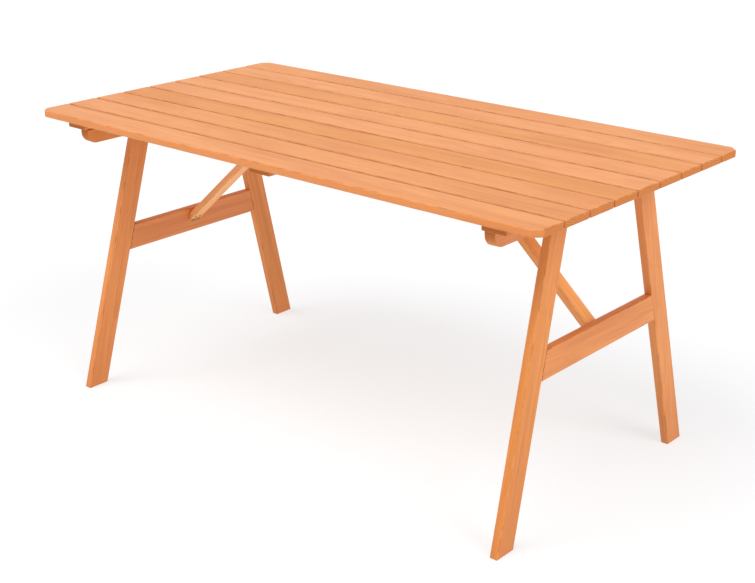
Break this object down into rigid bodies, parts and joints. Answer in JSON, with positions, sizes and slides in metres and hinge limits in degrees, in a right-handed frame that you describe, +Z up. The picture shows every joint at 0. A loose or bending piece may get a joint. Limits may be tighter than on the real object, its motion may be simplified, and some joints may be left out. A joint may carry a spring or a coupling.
{
  "type": "folding table",
  "caption": "Rectangular slatted wooden garden table whose two splayed leg frames fold flat under the top, each held open by a diagonal brace.",
  "frame": {"origin": "on the floor under the middle of the top, with the table standing open", "axes": "+X along the length of the top, +Y across it, +Z up"},
  "size_m": [1.5, 0.8, 0.74],
  "materials": {
    "top_wood": "oiled softwood, satin",
    "frame_wood": "oiled softwood, satin",
    "zinc_steel": "bright zinc plate",
    "yellow_zinc": "yellow passivated zinc"
  },
  "bodies": {
    "tabletop": {"slat_1": "top_wood", "slat_2": "top_wood", "slat_3": "top_wood", "slat_4": "top_wood", "slat_5": "top_wood", "slat_6": "top_wood", "slat_7": "top_wood", "slat_8": "top_wood", "slat_9": "top_wood", "left_batten": "frame_wood", "centre_batten": "frame_wood", "right_batten": "frame_wood", "slat_screws_left": "yellow_zinc", "slat_screws_centre": "yellow_zinc", "slat_screws_right": "yellow_zinc", "hinge_top_leaves_left": "zinc_steel", "hinge_top_screws_left": "yellow_zinc", "hinge_pins_left": "zinc_steel", "catch_bracket_left": "zinc_steel", "catch_screws_left": "yellow_zinc", "hinge_top_leaves_right": "zinc_steel", "hinge_top_screws_right": "yellow_zinc", "hinge_pins_right": "zinc_steel", "catch_bracket_right": "zinc_steel", "catch_screws_right": "yellow_zinc"},
    "leg_frame_left": {"hinge_frame_leaves_left": "zinc_steel", "hinge_frame_screws_left": "yellow_zinc", "top_rail_left": "frame_wood", "front_leg_left": "frame_wood", "back_leg_left": "frame_wood", "cross_rail_left": "frame_wood", "rail_dowels_left": "frame_wood", "leg_bolts_left": "zinc_steel", "leg_nuts_left": "zinc_steel", "brace_hinge_rail_leaf_left": "yellow_zinc", "brace_hinge_rail_screws_left": "yellow_zinc", "brace_hinge_pin_left": "yellow_zinc"},
    "brace_arm_left": {"brace_left": "frame_wood", "brace_hinge_arm_leaf_left": "yellow_zinc", "brace_hinge_arm_screws_left": "yellow_zinc", "catch_bolt_left": "zinc_steel"},
    "wing_left": {"wing_nut_left": "zinc_steel"},
    "leg_frame_right": {"hinge_frame_leaves_right": "zinc_steel", "hinge_frame_screws_right": "yellow_zinc", "top_rail_right": "frame_wood", "front_leg_right": "frame_wood", "back_leg_right": "frame_wood", "cross_rail_right": "frame_wood", "rail_dowels_right": "frame_wood", "leg_bolts_right": "zinc_steel", "leg_nuts_right": "zinc_steel", "brace_hinge_rail_leaf_right": "yellow_zinc", "brace_hinge_rail_screws_right": "yellow_zinc", "brace_hinge_pin_right": "yellow_zinc"},
    "brace_arm_right": {"brace_right": "frame_wood", "brace_hinge_arm_leaf_right": "yellow_zinc", "brace_hinge_arm_screws_right": "yellow_zinc", "catch_bolt_right": "zinc_steel"},
    "wing_right": {"wing_nut_right": "zinc_steel"}
  },
  "joints": [
    {"name": "leg_fold_left", "type": "hinge", "parent": "tabletop", "child": "leg_frame_left", "pos_m": [-0.59975, 0, 0.706], "axis": [0, -1, 0], "range_deg": [0, 91]},
    {"name": "brace_swing_left", "type": "hinge", "parent": "leg_frame_left", "child": "brace_arm_left", "pos_m": [-0.63659, 0, 0.38162], "axis": [0, 1, 0], "range_deg": [0, 131.06]},
    {"name": "wing_turn_left", "type": "hinge", "parent": "brace_arm_left", "child": "wing_left", "pos_m": [-0.28913, 0.0226, 0.7048], "axis": [0, 1, 0], "continuous": true},
    {"name": "leg_fold_right", "type": "hinge", "parent": "tabletop", "child": "leg_frame_right", "pos_m": [0.59975, 0, 0.706], "axis": [0, 1, 0], "range_deg": [0, 88]},
    {"name": "brace_swing_right", "type": "hinge", "parent": "leg_frame_right", "child": "brace_arm_right", "pos_m": [0.63659, 0, 0.38162], "axis": [0, -1, 0], "range_deg": [0, 133.78]},
    {"name": "wing_turn_right", "type": "hinge", "parent": "brace_arm_right", "child": "wing_right", "pos_m": [0.28913, -0.0226, 0.7048], "axis": [0, -1, 0], "continuous": true}
  ],
  "couplings": [
    {"joint": "brace_swing_left", "follows": "leg_fold_left", "ratio": 1.44},
    {"joint": "brace_swing_right", "follows": "leg_fold_right", "ratio": 1.52}
  ]
}
